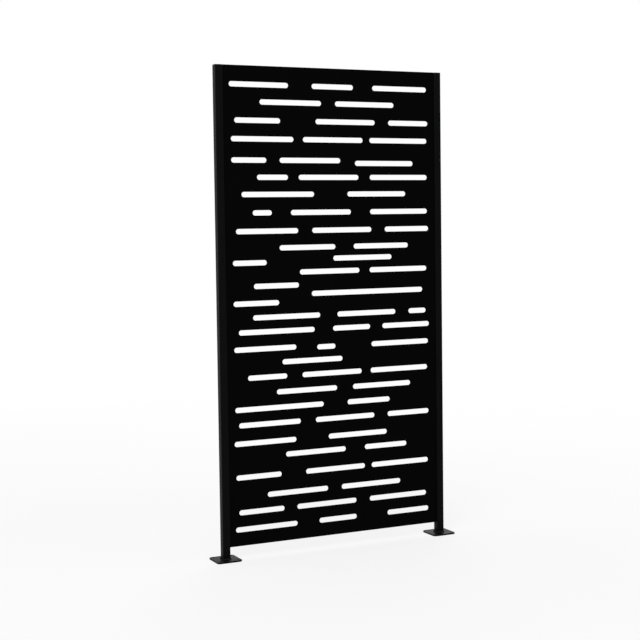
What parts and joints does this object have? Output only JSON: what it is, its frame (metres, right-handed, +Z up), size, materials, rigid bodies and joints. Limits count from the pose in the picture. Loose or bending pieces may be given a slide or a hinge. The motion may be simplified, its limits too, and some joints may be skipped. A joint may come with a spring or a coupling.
{
  "type": "slotted privacy screen bay",
  "caption": "Upright black steel privacy screen bay: a sheet with staggered round-ended slots on an angle frame, held between two square posts on base plates.",
  "frame": {"origin": "on the ground, at the middle of the underside of the left post's base plate", "axes": "+Z up, +X along the bay from the left post to the right post as seen from the front, +Y from the front to the back"},
  "size_m": [1.045, 0.1, 1.879],
  "materials": {
    "sheet_paint": "fine matt black powder coat",
    "frame_paint": "satin black powder coat",
    "post_paint": "satin black powder coat",
    "cap_plastic": "moulded black plastic"
  },
  "bodies": {
    "root": {"slotted_sheet": "sheet_paint", "bottom_frame_angle": "frame_paint", "right_frame_angle": "frame_paint", "top_frame_angle": "frame_paint", "left_frame_angle": "frame_paint", "upper_back_rail": "frame_paint", "lower_back_rail": "frame_paint", "left_post": "post_paint", "right_post": "post_paint", "left_post_cap": "cap_plastic", "right_post_cap": "cap_plastic", "left_base_plate": "post_paint", "right_base_plate": "post_paint"}
  },
  "joints": []
}
